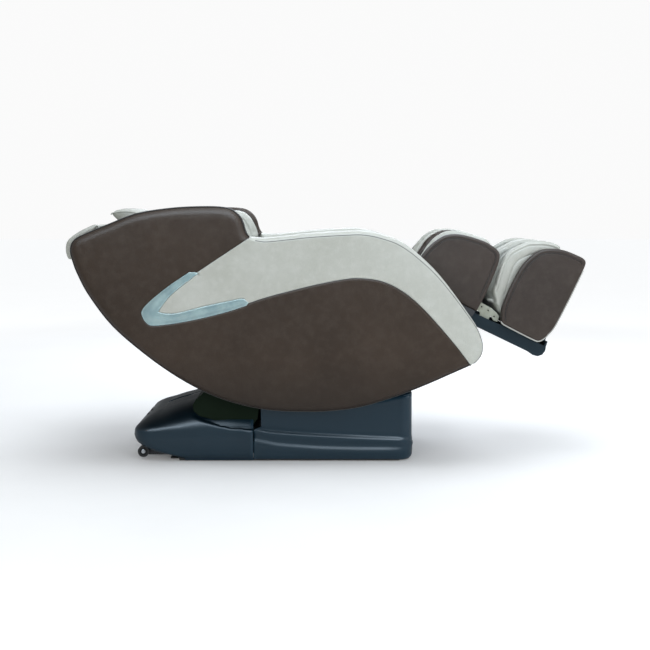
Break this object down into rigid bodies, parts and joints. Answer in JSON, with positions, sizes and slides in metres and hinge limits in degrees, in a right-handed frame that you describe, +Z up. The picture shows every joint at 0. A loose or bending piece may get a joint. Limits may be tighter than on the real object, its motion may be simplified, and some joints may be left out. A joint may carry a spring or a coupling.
{
  "type": "massage chair",
  "caption": "Reclining massage chair: leather capsule seat with curved side panels on a moulded base, lifting calf rest and sliding foot rest.",
  "frame": {"origin": "centre of the four floor-plate holes, on the floor", "axes": "+X towards the feet, +Y to the left of the person sitting, +Z up"},
  "size_m": [1.879, 0.76, 0.934],
  "materials": {
    "brown_leather": "dark brown synthetic leather with a fine pebble grain, low sheen",
    "cream_leather": "cream synthetic leather with a fine grain, low sheen",
    "navy_plastic": "dark navy moulded plastic, satin",
    "window_plastic": "dark green tinted moulded plastic",
    "lamp_lens": "pale blue translucent lamp lens",
    "frame_steel": "black painted steel",
    "bright_steel": "ground steel",
    "zinc_plate": "zinc plated steel",
    "black_plastic": "black moulded plastic",
    "circuit_case": "dark green grey plastic case",
    "pump_alloy": "cast alloy pump body",
    "wheel_rubber": "black rubber",
    "button_grey": "grey plastic button",
    "roller_plastic": "tan moulded plastic roller"
  },
  "bodies": {
    "base": {"base_frame": "frame_steel", "base_cover_rear": "navy_plastic", "base_cover_front": "navy_plastic", "base_windows": "window_plastic", "cover_screws": "frame_steel", "power_module": "black_plastic", "control_box": "circuit_case", "air_pump": "pump_alloy", "base_pins": "bright_steel"},
    "wheel_right": {"transport_wheel_right": "wheel_rubber"},
    "wheel_left": {"transport_wheel_left": "wheel_rubber"},
    "mains_switch": {"power_switch": "black_plastic"},
    "recline_tube": {"recline_actuator_tube": "black_plastic"},
    "recline_rod": {"recline_actuator_rod": "bright_steel"},
    "seat": {"seat_frame": "frame_steel", "side_panel_right": "brown_leather", "side_panel_left": "brown_leather", "arm_cover_right": "cream_leather", "arm_cover_left": "cream_leather", "lamp_lens_right": "lamp_lens", "lamp_lens_left": "lamp_lens", "back_cover": "brown_leather", "front_cover": "brown_leather", "seat_cushion": "cream_leather", "back_cushion": "cream_leather", "head_end_cover": "cream_leather", "shoulder_pads": "cream_leather", "hip_pads": "cream_leather", "track_rails": "bright_steel", "travel_motor": "black_plastic", "legrest_actuator_tube": "black_plastic", "knee_pins": "bright_steel", "remote_body": "black_plastic"},
    "screw": {"lead_screw": "bright_steel"},
    "carriage": {"carriage_frame": "frame_steel", "carriage_motors": "black_plastic", "knead_belt": "wheel_rubber"},
    "pulley": {"motor_pulley": "bright_steel"},
    "kneader": {"knead_shaft": "bright_steel"},
    "arm_right": {"massage_arm_right": "frame_steel"},
    "arm_left": {"massage_arm_left": "frame_steel"},
    "roller_ur": {"roller_upper_right": "roller_plastic"},
    "roller_lr": {"roller_lower_right": "roller_plastic"},
    "roller_ul": {"roller_upper_left": "roller_plastic"},
    "roller_ll": {"roller_lower_left": "roller_plastic"},
    "pillow": {"head_pillow": "cream_leather"},
    "leg_rod": {"legrest_actuator_rod": "bright_steel"},
    "remote_power": {"remote_power_button": "black_plastic"},
    "remote_mode": {"remote_mode_button": "button_grey"},
    "calf": {"legrest_frame": "frame_steel", "calf_panels": "brown_leather", "calf_liners": "cream_leather", "calf_divider": "cream_leather"},
    "foot": {"foot_chassis": "navy_plastic", "slide_brackets": "zinc_plate", "foot_panels": "brown_leather", "foot_liners": "cream_leather", "foot_divider": "cream_leather", "sole_plate": "navy_plastic"},
    "foot_rollers": {"foot_roller_shaft": "roller_plastic"}
  },
  "joints": [
    {"name": "recline", "type": "hinge", "parent": "base", "child": "seat", "pos_m": [0.195, 0, 0.342], "axis": [0, 1, 0], "range_deg": [0, 25]},
    {"name": "wheel_right_spin", "type": "hinge", "parent": "base", "child": "wheel_right", "pos_m": [-0.499, 0, 0.03], "axis": [0, 1, 0], "continuous": true},
    {"name": "wheel_left_spin", "type": "hinge", "parent": "base", "child": "wheel_left", "pos_m": [-0.499, 0, 0.03], "axis": [0, 1, 0], "continuous": true},
    {"name": "mains_rocker", "type": "hinge", "parent": "base", "child": "mains_switch", "pos_m": [-0.506, 0, 0.128], "axis": [0, 1, 0], "range_deg": [-7, 7]},
    {"name": "recline_tube_swing", "type": "hinge", "parent": "base", "child": "recline_tube", "pos_m": [0.45, 0, 0.112], "axis": [0, 1, 0], "range_deg": [-4.6, 0.2]},
    {"name": "recline_rod_slide", "type": "slide", "parent": "recline_tube", "child": "recline_rod", "axis": [-0.8968, 0, 0.4425], "range_m": [-0.0005, 0.048]},
    {"name": "carriage_travel", "type": "slide", "parent": "seat", "child": "carriage", "axis": [-0.8894, 0, 0.4571], "range_m": [-0.25, 0.2]},
    {"name": "screw_spin", "type": "hinge", "parent": "seat", "child": "screw", "pos_m": [-0.33184, 0, 0.50136], "axis": [-0.8894, 0, 0.4571], "range_deg": [-2260, 1810]},
    {"name": "knead_spin", "type": "hinge", "parent": "carriage", "child": "kneader", "pos_m": [-0.29344, 0, 0.57607], "axis": [0, 1, 0], "continuous": true},
    {"name": "motor_pulley_spin", "type": "hinge", "parent": "carriage", "child": "pulley", "pos_m": [-0.26548, 0, 0.51672], "axis": [0, 1, 0], "continuous": true},
    {"name": "tap_right", "type": "hinge", "parent": "carriage", "child": "arm_right", "pos_m": [-0.29344, 0, 0.57607], "axis": [0, 1, 0], "range_deg": [-6, 6]},
    {"name": "tap_left", "type": "hinge", "parent": "carriage", "child": "arm_left", "pos_m": [-0.29344, 0, 0.57607], "axis": [0, 1, 0], "range_deg": [-6, 6]},
    {"name": "roller_upper_right_spin", "type": "hinge", "parent": "arm_right", "child": "roller_ur", "pos_m": [-0.352, 0, 0.61965], "axis": [0, 1, 0], "continuous": true},
    {"name": "roller_lower_right_spin", "type": "hinge", "parent": "arm_right", "child": "roller_lr", "pos_m": [-0.22392, 0, 0.55383], "axis": [0, 1, 0], "continuous": true},
    {"name": "roller_upper_left_spin", "type": "hinge", "parent": "arm_left", "child": "roller_ul", "pos_m": [-0.352, 0, 0.61965], "axis": [0, 1, 0], "continuous": true},
    {"name": "roller_lower_left_spin", "type": "hinge", "parent": "arm_left", "child": "roller_ll", "pos_m": [-0.22392, 0, 0.55383], "axis": [0, 1, 0], "continuous": true},
    {"name": "pillow_flip", "type": "hinge", "parent": "seat", "child": "pillow", "pos_m": [-0.636, 0, 0.909], "axis": [0, -1, 0], "range_deg": [0, 140]},
    {"name": "remote_power_press", "type": "slide", "parent": "seat", "child": "remote_power", "axis": [0, 1, 0], "range_m": [0, 0.0015]},
    {"name": "remote_mode_press", "type": "slide", "parent": "seat", "child": "remote_mode", "axis": [0, 1, 0], "range_m": [0, 0.0015]},
    {"name": "legrest_lift", "type": "hinge", "parent": "seat", "child": "calf", "pos_m": [0.625, 0, 0.557], "axis": [0, 1, 0], "range_deg": [-14, 37]},
    {"name": "legrest_rod_slide", "type": "slide", "parent": "seat", "child": "leg_rod", "axis": [0.9805, 0, 0.1966], "range_m": [-0.052, 0.021]},
    {"name": "foot_extend", "type": "slide", "parent": "calf", "child": "foot", "axis": [0.8988, 0, -0.4384], "range_m": [-0.055, 0.09]},
    {"name": "foot_roller_spin", "type": "hinge", "parent": "foot", "child": "foot_rollers", "pos_m": [1.02647, 0, 0.57161], "axis": [0, 1, 0], "continuous": true}
  ],
  "couplings": [
    {"joint": "recline_tube_swing", "follows": "recline", "ratio": -0.176},
    {"joint": "recline_rod_slide", "follows": "recline", "m_per_rad": 0.1089},
    {"joint": "screw_spin", "follows": "carriage_travel", "rad_per_m": 157.08},
    {"joint": "motor_pulley_spin", "follows": "knead_spin", "ratio": 3},
    {"joint": "legrest_rod_slide", "follows": "legrest_lift", "m_per_rad": -0.078}
  ]
}
